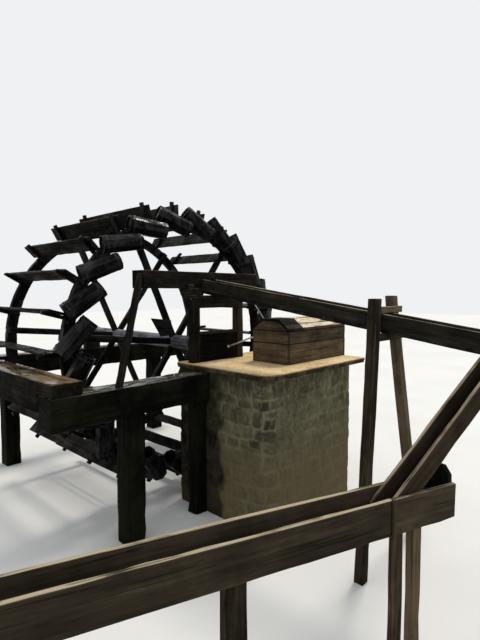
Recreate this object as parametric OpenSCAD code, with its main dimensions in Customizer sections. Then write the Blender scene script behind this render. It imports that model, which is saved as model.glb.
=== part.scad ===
// River bucket wheel: a timber scoop wheel on a masonry pier, with its
// collecting trough, flume, chute and ground trough.
// X runs along the wheel's plane, Y along the axle away from the bank, Z up.
// The origin is on the river bed, under the axle's centreline at the near bearing.

/* [Wheel] */
// Height of the axle's centre over the river bed
axle_z = 2260; // [2240:10:2500]
// Buckets, and as many paddle boards
bucket_count = 24; // [20:1:24]
// Angle of the first bucket's closed end over the X axis, in degrees
first_bucket = 104.9; // [100:0.1:109]
// Outer radius of both rims
rim_r = 1920; // [1880:10:1950]
// Depth of a rim, from its outer to its inner edge
rim_depth = 150; // [120:5:180]
// Thickness of one felloe; each rim is two layers of them
felloe_t = 45; // [35:1:50]
// Felloes in one layer of a rim
felloe_count = 12; // [8:1:16]
// Distance from the near rim's near face to the far rim's far face
wheel_w = 1930; // [1700:10:2000]
// Near face of the near rim along the axle
wheel_y = 735; // [735:5:800]

/* [Spokes and axle] */
// Spokes in each rim
spoke_count = 6; // [4:1:6]
// Angle of the first spoke over the X axis, in degrees
first_spoke = 54; // [50:0.5:60]
// Width of a spoke in the wheel's plane
spoke_w = 96; // [70:2:98]
// Thickness of a spoke along the axle
spoke_t = 60; // [50:2:70]
// Radius of the axle log
axle_r = 105; // [105:5:120]
// Depth of a spoke's mortise in the log
mortise = 15; // [10:1:16]
// Length of the board on the hub, from its foot's right end
hub_board_l = 410; // [360:10:430]
// Thickness of the board on the hub
hub_board_t = 40; // [30:2:50]
// Height of that board
hub_board_h = 243; // [200:1:260]
// Length of its foot on the log
hub_board_foot = 224; // [180:2:240]
// Distance of its foot from the log's top
hub_board_in = 76; // [60:2:90]
// How far its right edge leans and its head slopes
hub_board_lean = 42; // [20:2:60]
// Radius of the iron gudgeon at each end
gudgeon_r = 28; // [20:1:35]

/* [Paddles] */
// Depth of a paddle board outside the rim
paddle_h = 225; // [180:5:240]
// Thickness of a paddle board
paddle_t = 32; // [25:1:40]
// Length of a paddle board beyond the far rim
paddle_over = 150; // [100:5:200]
// Width of a paddle cleat along the axle
cleat_w = 55; // [40:5:70]
// Thickness of a paddle cleat
cleat_t = 48; // [36:2:60]
// Length of a paddle cleat along the radius
cleat_l = 410; // [380:10:420]

/* [Buckets] */
// Radius at which a bucket's closed end is centred
bucket_r = 1995; // [1980:5:2010]
// Radius at which a bucket's mouth is centred
mouth_r = 1724; // [1715:1:1740]
// Angle from a bucket's closed end to its mouth, in degrees
bucket_lead = 14.3; // [13.5:0.1:16]
// How far the mouth stands nearer the bank than the closed end
mouth_out = 150; // [120:5:160]
// Distance from the closed end's centre to the near rim
bucket_off = 135; // [130:1:150]
// Distance from the centre to a flat at the closed end
bucket_a = 122; // [110:1:125]
// Distance from the centre to a flat at the mouth
mouth_a = 110; // [95:1:112]
// Thickness of a stave
stave_t = 20; // [14:1:24]
// Staves in a bucket
stave_count = 8; // [7:1:10]
// Depth of the bottom board inside the staves
bottom_in = 22; // [10:1:40]
// Width and length of the chock that holds a bucket off the rim
chock_w = 90; // [60:5:100]

/* [Pier] */
// Length of the masonry along the wheel's plane
pier_l = 1880; // [1800:10:1950]
// Left face of the masonry
pier_x = -390; // [-420:5:-380]
// Bank end of the masonry
pier_y = -1445; // [-1500:5:-1400]
// Width of the masonry along the axle
pier_w = 1695; // [1600:5:1695]
// Top of the slab over the river bed
slab_z = 2040; // [1990:5:2045]
// Thickness of the slab
slab_t = 75; // [60:5:80]
// Overhang of the slab past the masonry
slab_over = 35; // [20:5:35]
// Overhang of the slab at its right end
slab_over_right = 407; // [400:1:450]
// Radius of the pier's rounded corner
pier_round = 190; // [100:10:250]

/* [Beams and posts] */
// Width of the near and far beams along the axle
beam_w = 330; // [280:10:350]
// Height of the beams
beam_h = 360; // [300:10:380]
// Top of the near and far beams
beam_z = 1950; // [1900:5:1955]
// Left end of the beams
beam_x = -2588; // [-2700:10:-2560]
// Near face of the near beam
near_beam_y = -400; // [-450:10:-390]
// Near face of the far beam
far_beam_y = 3400; // [3300:10:3500]
// Right end of the far beam
far_beam_end = 2588; // [2500:10:2700]
// Width of the cross beam
cross_w = 360; // [300:10:400]
// Height of the cross beam above the beams that it lies on
cross_up = 155; // [120:5:180]
// Side of a square post
post_s = 250; // [220:10:280]
// Left face of the post under the near beam
post_x = -1675; // [-1800:5:-1600]
// Side of the post that stands against the pier
pier_post_s = 190; // [150:10:220]

/* [Stand on the pier] */
// Left face of the stand's first post
stand_x = -377; // [-380:1:-360]
// Length of the stand over its posts
stand_l = 1014; // [900:2:1100]
// Side of a stand post
stand_s = 120; // [100:5:130]
// Near face of the stand
stand_y = -50; // [-60:5:-40]
// Height of the panel's top rail over the slab
panel_h = 440; // [400:5:460]
// Height of the top beam's underside over the slab
window_h = 780; // [700:5:800]
// Thickness of a board of the panel
board_t = 30; // [25:1:35]
// Thickness of the plank on the stand's top
cap_t = 50; // [40:2:60]
// Overhang of that plank
cap_over = 20; // [10:2:30]

/* [Collecting trough] */
// Underside of the collecting trough over the river bed
trough_z = 3100; // [3050:5:3120]
// Left end of the collecting trough
trough_x = -1090; // [-1110:5:-1000]
// Length of the collecting trough
trough_l = 2228; // [2100:2:2240]
// Near face of the collecting trough
trough_y = 120; // [100:5:130]
// Width of the collecting trough
trough_w = 260; // [220:5:280]
// Height of the collecting trough
trough_h = 240; // [200:5:245]
// Height and width of the two bearers under the trough
bearer_s = 100; // [80:5:110]
// Length of a bearer under the trough
bearer_reach = 150; // [120:5:240]
// Height of the stop on each bearer, in front of the trough
stop_h = 60; // [40:5:80]
// Thickness of a stop
stop_t = 45; // [30:5:60]
// Thickness of a trough or flume board
plank_t = 35; // [28:1:40]

/* [Flume] */
// Near board of the flume, its outer face along X
flume_x = -61; // [-100:1:-40]
// Width of the flume over its boards
flume_w = 290; // [250:5:300]
// Height of a flume board
flume_h = 165; // [140:5:180]
// Thickness of the flume's floor
floor_t = 40; // [30:1:45]
// Distance of the floor's edges in from the boards' outer faces
floor_in = 12; // [0:1:20]
// Fall of the flume for each unit of its length
flume_fall = 0.146; // [0.1:0.002:0.16]
// Lower end of the flume
flume_end = -4280; // [-4400:10:-4270]

/* [Chute] */
// Horizontal length of the chute
chute_run = 1440; // [1400:10:1450]
// Slope of the chute in degrees
chute_slope = 40.2; // [39:0.1:41]
// Width of the chute over its boards
chute_w = 195; // [170:5:200]
// Height of a chute board, square to its slope
chute_h = 160; // [130:5:175]
// Place of the chute's left side along the flume
chute_y = -3790; // [-3850:5:-3750]
// Distance from the flume's top edge down to the chute's
chute_down = 20; // [0:5:40]

/* [Ground trough] */
// Turn of the chute and the ground trough from X, in degrees
ground_turn = -20; // [-24:0.5:-16]
// Lower end of the ground trough along its own length
ground_start = -3300; // [-3500:10:-3000]
// Length of the ground trough
ground_l = 3790; // [3600:10:4000]
// Clearance between the chute's foot and each ground board
chute_gap = 7.5; // [4:0.5:12]
// Thickness of a ground trough board
ground_t = 40; // [30:1:45]
// Height of a ground trough board
ground_h = 275; // [250:5:290]
// Top of the ground trough over the river bed
ground_z = 1530; // [1500:5:1540]
// Height of the end board above the side boards
end_up = 120; // [60:5:150]
// Clipped corner of the end board
end_clip = 60; // [30:5:80]
// Joint between the two lengths of the near ground board, from its lower end
ground_joint = 3116; // [2900:2:3300]
// Width of the batten over that joint
batten_w = 28; // [20:2:50]
// Thickness of that batten
batten_t = 18; // [12:1:30]
// Length of the batten past the board, at its top and at its foot
batten_past = 8; // [0:1:20]
// Pairs of stakes under the ground trough
stake_count = 3; // [2:1:4]
// Distance between two pairs of stakes
stake_pitch = 1500; // [1000:10:1600]
// Distance from the trough's lower end to its first stakes
stake_in = 350; // [200:10:450]
// Side of a square stake
stake_s = 80; // [60:5:100]

/* [Trestles] */
// Place of the trestle in the middle of the flume
trestle_y1 = -2720; // [-2800:5:-2600]
// Place of the trestle at the flume's end
trestle_y2 = -4205; // [-4225:5:-4190]
// Side of a trestle leg
leg_s = 105; // [90:5:120]
// Lean of the leg on the flume's near side, in degrees
near_lean = 4; // [2:0.5:6]
// Lean of the leg on the flume's far side, in degrees
far_lean = 15; // [10:0.5:16]
// Height of the near leg above the flume's top edge
leg_up = 162; // [130:2:200]
// Height of the far leg above the flume's top edge
far_up = 190; // [130:5:230]
// Distance from the near leg to the flume's top edge
near_gap = 36; // [10:2:60]
// Distance from the far leg to the flume's top edge
far_gap = 90; // [20:5:110]
// Height of the upper crosspiece
tie_h = 70; // [50:5:80]
// Height of the lower crosspiece
low_tie_h = 85; // [60:5:100]
// Thickness of a crosspiece
tie_t = 45; // [35:5:60]
// Length of a crosspiece past the far leg
tie_out = -20; // [-40:5:60]

/* [Cover box] */
// Left end of the box
box_x = 408; // [390:2:430]
// Near side of the box
box_y = -1110; // [-1150:5:-1080]
// Length of the box
box_l = 1480; // [1400:10:1490]
// Width of the box
box_w = 655; // [600:5:680]
// Height of its walls
box_h = 462; // [400:2:500]
// Rise of its roof over the walls
roof_rise = 168; // [120:2:200]
// Distance from a wall to the roof's flat top
roof_in = 180; // [150:5:220]
// Thickness of a box board
box_t = 28; // [22:1:32]
// Height of the joint between the two courses of a wall
box_joint = 285; // [200:5:320]
// Length of the dark part of the roof
roof_split = 350; // [250:5:450]

/* [Strut and rod] */
// Side of the square strut
strut_s = 75; // [60:5:85]
// Distance of the strut's foot from the trough, along the beam
strut_out = 650; // [550:10:700]
// Distance of the strut's foot from the beam's near edge
strut_in = 100; // [60:5:140]
// Radius of the knob on the stand's panel
knob_r = 22; // [16:1:28]
// Radius of the metal rod
rod_r = 12; // [8:1:14]
// Place of the knob along the stand
rod_x = 300; // [250:10:350]
// Height of the knob over the slab
rod_z = 190; // [150:5:220]
// Rise of the rod from its knob to the box
rod_up = 165; // [100:5:200]
// Radius of the thin prop between the box's roof and the flume
prop_r = 8; // [6:1:12]
// Distance of the prop's foot from the box's left end
prop_in = 14; // [12:1:40]

/* [Hidden] */
$fn = 96;
// Gap left between two boards that lie on each other
seat = 0.3;
// Radial clearance of a gudgeon in its bearing
run_gap = 0.05;
bucket_step = 360 / bucket_count;
hub_r = axle_r - mortise;
// The bearings: their sizes, their clearance to the stand and the beam, the pins' ends
bearing_w = 120;
bearing_l = 300;
bearing_up = 75;
bearing_in = 10;
pin_out = 20;
pin_in = 160;
log_gap = 15;
near_bearing_y = stand_y + stand_s + bearing_in;
far_bearing_y = far_beam_y + bearing_in;
log_start = near_bearing_y + bearing_w + log_gap;
log_end = far_bearing_y - log_gap;
near_spoke_y = wheel_y + 2 * felloe_t + 2 * seat;
far_rim_in = wheel_y + wheel_w - 2 * felloe_t - 2 * seat;
spoke_in = 12;
paddle_in = 8;
cleat_in = 15;
cross_drop = 200;
rail_h = 40;
rail_w = 80;
panel_in = 15;
panel_rows = 3;
bearer_lap = 30;
// Distance of the stakes in from the ground boards' outer faces
stake_back = 15;
stand_top = trough_z - bearer_s - seat;
// The flume rests on the near edge of the stand and butts on the trough
flume_start = trough_y - seat;
flume_z = stand_top + floor_t + flume_h
    + (flume_start - stand_y + cap_over) * flume_fall + 2 * seat;
gate = [flume_x + plank_t, flume_x + flume_w - plank_t];
trestle_ys = [trestle_y1, trestle_y2];
chute_drop = chute_h / cos(chute_slope);
// The chute's two faces along the flume's near board
chute_skew = chute_w / cos(ground_turn);
chute_lap = plank_t / cos(ground_turn);
ground_w = chute_w + 2 * chute_gap + 2 * ground_t;
ground_off = chute_y * cos(ground_turn) - flume_x * sin(ground_turn)
    - chute_w - chute_gap - ground_t;
ground_foot = ground_z - ground_h;
ground_floor_z = ground_foot + ground_t;

// Height of the flume's top edge at a place along it
function flume_top(y) = flume_z - (flume_start - y) * flume_fall;

// A point in the wheel's plane, from its radius and angle
function polar(r, a) = [r * cos(a), 0, r * sin(a)];

// Places its children in the wheel, turned by an angle about the axle
module on_wheel(a) {
    translate([0, 0, axle_z]) rotate([0, -a, 0]) children();
}

// Lays a ring's segment in the wheel's plane, from a near face at y
module felloe(y, a, t) {
    span = 360 / felloe_count;
    gap = seat / rim_r * 180 / PI;
    on_wheel(a + gap)
        translate([0, y + t, 0]) rotate([90, 0, 0])
        rotate_extrude(angle = span - 2 * gap, $fn = 480)
        translate([rim_r - rim_depth, 0]) square([rim_depth, t]);
}

module rim_layer(y, turn) {
    for (i = [0 : felloe_count - 1]) felloe(y, i * 360 / felloe_count + turn, felloe_t);
}

module near_rim_outer() color("#2b2622") rim_layer(wheel_y, first_spoke);
module near_rim_inner() color("#332d28")
    rim_layer(wheel_y + felloe_t + seat, first_spoke + 180 / felloe_count);
module far_rim_outer() color("#2b2622") rim_layer(wheel_y + wheel_w - felloe_t, first_spoke);
module far_rim_inner() color("#332d28")
    rim_layer(wheel_y + wheel_w - 2 * felloe_t - seat, first_spoke + 180 / felloe_count);

// One spoke from its mortise to the rim's outer edge
module spoke(y, a, grow) {
    on_wheel(a) translate([hub_r + seat - 2 * grow, y - grow, -spoke_w / 2 - grow])
        cube([rim_r - hub_r - spoke_in, spoke_t + 2 * grow, spoke_w + 2 * grow]);
}

module spokes(y, grow = 0) {
    for (i = [0 : spoke_count - 1]) spoke(y, first_spoke + i * 360 / spoke_count, grow);
}

module near_spokes() color("#3a332d") spokes(near_spoke_y);
module far_spokes() color("#3a332d") spokes(far_rim_in - spoke_t);

// A board across the near spokes, over the hub: wide away from it, narrow near it
module hub_board() color("#2b2622")
    translate([0, near_spoke_y - seat, axle_z + axle_r + seat]) rotate([90, 0, 0])
    linear_extrude(hub_board_t)
    polygon([[-hub_board_in, 0], [-hub_board_in - hub_board_lean, hub_board_h],
             [-hub_board_in - hub_board_l, hub_board_h + hub_board_lean],
             [-hub_board_in - hub_board_foot, 0]]);

module axle_log() color("#6b6259") difference() {
    translate([0, log_end, axle_z]) rotate([90, 0, 0])
        cylinder(r = axle_r, h = log_end - log_start);
    spokes(near_spoke_y, seat);
    spokes(far_rim_in - spoke_t, seat);
    gudgeon_pins(seat);
}

// The two iron pins, which sit in the log's ends and turn in the bearings
module gudgeon_pins(grow = 0) {
    for (span = [[near_bearing_y - pin_out, log_start + pin_in],
                 [log_end - pin_in, far_bearing_y + bearing_w + pin_out]])
        translate([0, span[1] + grow, axle_z]) rotate([90, 0, 0])
            cylinder(r = gudgeon_r + grow, h = span[1] - span[0] + 2 * grow);
}
module gudgeons() color("#4b4743") gudgeon_pins();

module paddles() color("#3b342e") {
    for (i = [0 : bucket_count - 1])
        on_wheel(first_bucket + i * bucket_step)
            translate([rim_r + seat, wheel_y + paddle_in, -paddle_t / 2])
            cube([paddle_h, wheel_w - paddle_in + paddle_over, paddle_t]);
}

// Cleats on the rims' inner faces, on the trailing side of every paddle
module paddle_cleats() color("#4a4038") {
    for (i = [0 : bucket_count - 1], y = [near_spoke_y, far_rim_in - cleat_w])
        on_wheel(first_bucket + i * bucket_step)
            translate([rim_r - rim_depth + cleat_in, y, paddle_t / 2 + seat])
            cube([cleat_l, cleat_w, cleat_t]);
}

// A bucket's own frame: Z from the closed end to the mouth, one flat towards the rim
closed_pt = [bucket_r, wheel_y - bucket_off, 0];
mouth_pt = polar(mouth_r, -bucket_lead) + [0, wheel_y - bucket_off - mouth_out, 0];
axis_v = mouth_pt - closed_pt;
bucket_l = norm(axis_v);
axis_turn = atan2(axis_v[2], axis_v[0]);
axis_tilt = asin(axis_v[1] / bucket_l);
module in_bucket(i) {
    on_wheel(first_bucket + i * bucket_step)
        translate(closed_pt)
        rotate([0, -axis_turn, 0]) rotate([0, 0, axis_tilt])
        rotate([0, 90, 0]) rotate([0, 0, 90])
        children();
}

taper = atan((bucket_a - mouth_a) / bucket_l);

// One stave: a tapered board, cut to the mitre of its two joints
module stave() {
    half = 180 / stave_count;
    intersection() {
        translate([bucket_a, 0, 0]) rotate([0, -taper, 0])
            translate([-stave_t, -bucket_a, -stave_t])
            cube([stave_t, 2 * bucket_a, bucket_l + 2 * stave_t]);
        linear_extrude(bucket_l)
            polygon([[seat / sin(half), 0],
                     [2 * bucket_a, 2 * bucket_a * tan(half) - seat / cos(half)],
                     [2 * bucket_a, -2 * bucket_a * tan(half) + seat / cos(half)]]);
    }
}

module bucket_staves() color("#2f2925") {
    for (i = [0 : bucket_count - 1], k = [0 : stave_count - 1])
        in_bucket(i) rotate([0, 0, k * 360 / stave_count]) stave();
}

module bucket_bottoms() color("#2f2925") {
    // the widest board that fits the staves at the depth of its far face
    far_a = bucket_a - (bottom_in + stave_t) * tan(taper) - stave_t / cos(taper) - seat;
    for (i = [0 : bucket_count - 1])
        in_bucket(i) translate([0, 0, bottom_in])
            rotate([0, 0, 180 / stave_count])
            cylinder(r = far_a / cos(180 / stave_count), h = stave_t, $fn = stave_count);
}

// A wedge between the bucket's flat and the near rim
module bucket_chocks() color("#3a332d") {
    mid = bucket_l / 2;
    face = bucket_a - mid * tan(taper);
    for (i = [0 : bucket_count - 1])
        intersection() {
            in_bucket(i)
                translate([face + seat, 0, mid]) rotate([0, -taper, 0])
                translate([0, -chock_w / 2, -chock_w / 2])
                cube([2 * bucket_off, chock_w, chock_w]);
            translate([-3 * rim_r, 0, -rim_r])
                cube([6 * rim_r, wheel_y - seat, 6 * rim_r]);
        }
}

// A block with its near left corner rounded
module rounded_block(x0, x1, y0, y1, r, h) {
    linear_extrude(h) union() {
        translate([x0, y0 + r]) square([x1 - x0, y1 - y0 - r]);
        translate([x0 + r, y0]) square([x1 - x0 - r, r]);
        translate([x0 + r, y0 + r]) circle(r = r);
    }
}

module pier_masonry() color("#8f8a76")
    rounded_block(pier_x, pier_x + pier_l, pier_y, pier_y + pier_w, pier_round,
        slab_z - slab_t);

module pier_slab() color("#c7a877")
    translate([0, 0, slab_z - slab_t])
    rounded_block(pier_x - slab_over, pier_x + pier_l + slab_over_right,
        pier_y - slab_over, pier_y + pier_w + slab_over, pier_round + slab_over, slab_t);

module near_beam() color("#2a2520")
    translate([beam_x, near_beam_y, beam_z - beam_h])
    cube([pier_x - beam_x - seat, beam_w, beam_h]);

module far_beam() color("#2a2520")
    translate([beam_x, far_beam_y, beam_z - beam_h])
    cube([far_beam_end - beam_x, beam_w, beam_h]);

// The cross beam hangs between the beams and laps over both of them
module cross_beam() color("#6a5a45") {
    y0 = near_beam_y + beam_w + seat;
    translate([beam_x, near_beam_y, beam_z + seat])
        cube([cross_w, far_beam_y + beam_w - near_beam_y, cross_up]);
    translate([beam_x, y0, beam_z - cross_drop])
        cube([cross_w, far_beam_y - y0 - seat, cross_drop + cross_up]);
}

module beam_posts() color("#2f2a22") {
    top = beam_z - beam_h - seat;
    inset = (beam_w - post_s) / 2;
    for (p = [[post_x, near_beam_y], [post_x, far_beam_y], [-post_x - post_s, far_beam_y]])
        translate([p[0], p[1] + inset, 0]) cube([post_s, post_s, top]);
    translate([pier_x - pier_post_s - seat, near_beam_y + (beam_w - pier_post_s) / 2, 0])
        cube([pier_post_s, pier_post_s, top]);
}

// A bearing block from its seat up round the gudgeon
module bearing(y, seat_z) {
    difference() {
        translate([-bearing_l / 2, y, seat_z + seat])
            cube([bearing_l, bearing_w, axle_z + bearing_up - seat_z - seat]);
        translate([0, y + bearing_w + pin_out, axle_z]) rotate([90, 0, 0])
            cylinder(r = gudgeon_r + run_gap, h = bearing_w + 2 * pin_out);
    }
}
module bearings() color("#4a4038") {
    bearing(near_bearing_y, slab_z);
    bearing(far_bearing_y, beam_z);
}

module stand_posts() color("#3d352c") {
    for (x = [stand_x, stand_x + stand_l - stand_s])
        translate([x, stand_y, slab_z + seat])
            cube([stand_s, stand_s, stand_top - cap_t - slab_z - 2 * seat]);
}

// The beam between the posts and the plank over them
module stand_top_beam() color("#39322b") {
    translate([stand_x + stand_s + seat, stand_y, slab_z + window_h])
        cube([stand_l - 2 * (stand_s + seat), stand_s,
            stand_top - cap_t - seat - slab_z - window_h]);
    translate([stand_x - cap_over, stand_y - cap_over, stand_top - cap_t])
        cube([stand_l + 2 * cap_over, stand_s + 2 * cap_over, cap_t]);
}

module stand_rail() color("#5a4d3f")
    translate([stand_x + stand_s + seat, stand_y, slab_z + panel_h - rail_h])
    cube([stand_l - 2 * stand_s - 2 * seat, rail_w, rail_h]);

module stand_panel() color("#2b2723") {
    h = (panel_h - rail_h) / panel_rows;
    for (i = [0 : panel_rows - 1])
        translate([stand_x + stand_s + seat, stand_y + panel_in, slab_z + i * h + seat])
            cube([stand_l - 2 * stand_s - 2 * seat, board_t, h - 2 * seat]);
}

// Two bearers lie across the stand's posts and carry the trough
module trough_bearers() color("#5c5044") {
    y0 = stand_y - bearer_lap;
    for (x = [stand_x + bearer_lap, stand_x + stand_l - bearer_lap - bearer_s])
        translate([x, 0, 0]) {
            translate([0, y0, stand_top + seat / 2])
                cube([bearer_s, trough_y + bearer_reach - y0, bearer_s]);
            translate([0, trough_y - stop_t - seat, trough_z])
                cube([bearer_s, stop_t, stop_h]);
        }
}

// Extrudes an outline given in Y and Z along X
module side_plate(t) {
    rotate([90, 0, 90]) linear_extrude(t) children();
}

// The floor and its sill in the flume's mouth
module trough_floor() color("#3b342e") {
    translate([trough_x + plank_t + seat, trough_y + plank_t + seat, trough_z])
        cube([trough_l - 2 * (plank_t + seat), trough_w - 2 * (plank_t + seat), plank_t]);
    translate([gate[0] + seat, trough_y, trough_z])
        cube([gate[1] - gate[0] - 2 * seat, plank_t, plank_t]);
}

// The side boards and the ends; the near one stops on both sides of the flume's mouth
module trough_boards() color("#39322c") {
    for (s = [[trough_x, gate[0]], [gate[1], trough_x + trough_l]])
        translate([s[0], trough_y, trough_z])
            cube([s[1] - s[0], plank_t, flume_z - trough_z]);
    translate([trough_x, trough_y + trough_w - plank_t, trough_z])
        cube([trough_l, plank_t, trough_h]);
    for (x = [trough_x, trough_x + trough_l - plank_t])
        translate([x, trough_y + plank_t + seat, trough_z])
            cube([plank_t, trough_w - 2 * (plank_t + seat), trough_h]);
}

// Two lengths, with their joint at the right side of the flume's mouth
module trough_upper_board() color("#453d35")
    for (s = [[trough_x, gate[1]], [gate[1] + seat, trough_x + trough_l]])
        translate([s[0], trough_y, flume_z + seat])
            cube([s[1] - s[0], plank_t, trough_z + trough_h - flume_z - seat]);

// A strut from the near beam up to the trough's left end
module trough_strut() color("#3a332c") {
    foot = [trough_x - strut_out, near_beam_y + strut_in, beam_z];
    head = [trough_x - strut_s / 2, trough_y + strut_s / 2, trough_z + trough_h / 2];
    run = head - foot;
    intersection() {
        translate(foot) rotate([0, 0, atan2(run[1], run[0])])
            rotate([0, acos(run[2] / norm(run)), 0])
            translate([-strut_s / 2, -strut_s / 2, -strut_s])
            cube([strut_s, strut_s, norm(run) + 2 * strut_s]);
        translate([beam_x, near_beam_y, beam_z + seat])
            cube([trough_x - beam_x - seat, 2 * beam_w + trough_w,
                trough_z + trough_h - beam_z]);
    }
}

// A sloping board of the flume, between two places and two depths below its top edge
module flume_board(x, t, y0, y1, d0, d1) {
    translate([x, 0, 0]) side_plate(t)
        polygon([[y0, flume_top(y0) - d0], [y1, flume_top(y1) - d0],
                 [y1, flume_top(y1) - d1], [y0, flume_top(y0) - d1]]);
}

// The floor starts under the trough's sill
module flume_floor() color("#3b342e")
    flume_board(flume_x + floor_in, flume_w - 2 * floor_in, trough_y + 2 * plank_t, flume_end,
        flume_h + seat, flume_h + floor_t);

// The near board stops on both sides of the chute's mouth
module flume_boards() color("#6c6155") {
    flume_board(flume_x, plank_t, flume_start, chute_y - chute_lap, 0, flume_h);
    flume_board(flume_x, plank_t, chute_y - chute_skew + chute_lap, flume_end, 0, flume_h);
    flume_board(flume_x + flume_w - plank_t, plank_t, flume_start, flume_end, 0, flume_h);
    flume_board(gate[0] + seat, gate[1] - gate[0] - 2 * seat, flume_end + plank_t, flume_end,
        0, flume_h);
}

// The chute's own frame, cut off at the flume: X down its run, Y away from the wheel
module in_chute() {
    intersection() {
        translate([flume_x, chute_y, 0]) rotate([0, 0, 180 + ground_turn])
            children();
        translate([flume_x - 2 * chute_run, chute_y - chute_run, 0])
            cube([2 * chute_run - seat, 2 * chute_run, axle_z + trough_z]);
    }
}

// A sloping board of the chute from a side place y, between two depths below its top edge
module chute_board(y, t, d0, d1) {
    top = flume_top(chute_y) - chute_down;
    fall = tan(chute_slope);
    back = chute_w;
    cap = flume_top(chute_y - chute_skew);
    translate([0, y + t, 0]) rotate([90, 0, 0]) linear_extrude(t) intersection() {
        polygon([[-back, top + back * fall - d0], [chute_run, top - chute_run * fall - d0],
                 [chute_run, top - chute_run * fall - d1], [-back, top + back * fall - d1]]);
        translate([-back, ground_floor_z + seat])
            square([back + chute_run, cap - ground_floor_z - seat]);
    }
}

module chute_floor() color("#3b342e") in_chute()
    chute_board(plank_t + seat, chute_w - 2 * (plank_t + seat),
        chute_drop - plank_t / cos(chute_slope), chute_drop);

module chute_boards() color("#6c6155") {
    for (y = [0, chute_w - plank_t]) in_chute() chute_board(y, plank_t, 0, chute_drop);
}

// The ground trough's own frame: X up its length, Y from its near board's outer face
module in_ground() {
    rotate([0, 0, ground_turn]) translate([ground_start, ground_off, 0]) children();
}

module ground_floor() color("#3b342e") in_ground()
    translate([0, ground_t + seat, ground_foot])
    cube([ground_l, ground_w - 2 * (ground_t + seat), ground_t]);

// The near board is in two lengths
module ground_boards() color("#6c6155") in_ground()
    for (s = [[0, ground_joint, 0], [ground_joint + seat, ground_l, 0],
              [0, ground_l, ground_w - ground_t]])
        translate([s[0], s[2], ground_foot]) cube([s[1] - s[0], ground_t, ground_h]);

// The end board stands above the side boards and has clipped corners
module ground_end_board() color("#3f3830") in_ground() {
    w = ground_w - 2 * (ground_t + seat);
    h = ground_h - ground_t - seat + end_up;
    translate([ground_l - ground_t, ground_t + seat, ground_floor_z + seat])
        side_plate(ground_t)
        polygon([[0, 0], [w, 0], [w, h - end_clip], [w - end_clip, h], [end_clip, h],
                 [0, h - end_clip]]);
}

// Stakes under the trough, and the batten over the near board's joint
module ground_stakes() color("#5d5348") in_ground() {
    for (i = [0 : stake_count - 1], y = [stake_back, ground_w - stake_back - stake_s])
        translate([stake_in + i * stake_pitch, y, 0])
            cube([stake_s, stake_s, ground_foot - seat]);
    translate([ground_joint - batten_w / 2, -batten_t - seat, ground_foot - batten_past])
        cube([batten_w, batten_t, ground_h + 2 * batten_past]);
}

// A leg down to the river bed, leaning along X from its top's centre
module leg(x, y, top, lean) {
    reach = top + leg_s;
    intersection() {
        translate([x, y, top]) rotate([0, lean, 0])
            translate([-leg_s / 2, 0, -reach]) cube([leg_s, leg_s, reach + leg_s]);
        translate([x - top, y, 0]) cube([2 * top, leg_s, top]);
    }
}

// Half a leg's width along X, and the centres of the two legs' tops
near_half = leg_s / 2 / cos(near_lean);
far_half = leg_s / 2 / cos(far_lean);
near_leg_x = flume_x - near_gap - near_half + leg_up * tan(near_lean);
far_leg_x = flume_x + flume_w + far_gap + far_half - far_up * tan(far_lean);

// The far leg stands behind the crosspieces
module trestle_legs() color("#5d5348") {
    for (y = trestle_ys) {
        leg(near_leg_x, y, flume_top(y) + leg_up, near_lean);
        leg(far_leg_x, y + tie_t + seat, flume_top(y) + far_up, -far_lean);
    }
}

// A crosspiece from the near leg past the far leg, with its foot at height z
module crosspiece(y, z, h) {
    down = flume_top(y) - z;
    x0 = near_leg_x + near_half - (leg_up + down - h) * tan(near_lean) + seat;
    x1 = far_leg_x + far_half + (far_up + down) * tan(far_lean) + tie_out;
    translate([x0, y, z]) cube([x1 - x0, tie_t, h]);
}

module trestle_ties() color("#6c6155") {
    for (y = trestle_ys) {
        crosspiece(y, flume_top(y + tie_t) + seat, tie_h);
        crosspiece(y, flume_top(y) - flume_h - floor_t - low_tie_h - seat, low_tie_h);
    }
}

// The walls in two courses, and the ends' third, cut to the roof's slopes
module box_boards() color("#8a7660") {
    courses = [[seat, box_joint - seat], [box_joint + seat, box_h - box_joint - seat]];
    for (c = courses) {
        for (y = [0, box_w - box_t])
            translate([box_x + box_t + seat, box_y + y, slab_z + c[0]])
                cube([box_l - 2 * (box_t + seat), box_t, c[1]]);
        for (x = [0, box_l - box_t])
            translate([box_x + x, box_y, slab_z + c[0]]) cube([box_t, box_w, c[1]]);
    }
    for (x = [0, box_l - box_t])
        translate([box_x + x, box_y, slab_z + box_h + seat]) side_plate(box_t)
            polygon([[0, 0], [box_w, 0], [box_w - roof_in, roof_rise - box_t],
                     [roof_in, roof_rise - box_t]]);
}

// Roof boards over a stretch of the box: two slopes and a flat top
module roof(x0, x1) {
    rise = (roof_rise - box_t) / roof_in;
    lift = box_t / cos(atan(rise));
    end = roof_in - seat;
    translate([box_x + x0, box_y, slab_z + box_h + 2 * seat]) {
        for (m = [0, 1])
            translate([0, m * box_w, 0]) mirror([0, m, 0]) side_plate(x1 - x0)
            polygon([[0, 0], [end, end * rise], [end, roof_rise],
                     [(roof_rise - lift) / rise, roof_rise], [0, lift]]);
        translate([0, roof_in, roof_rise - box_t])
            cube([x1 - x0, box_w - 2 * roof_in, box_t]);
    }
}

module box_roof_end() color("#5b5348") roof(0, roof_split);
module box_roof() color("#c0a173") roof(roof_split + seat, box_l);

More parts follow.
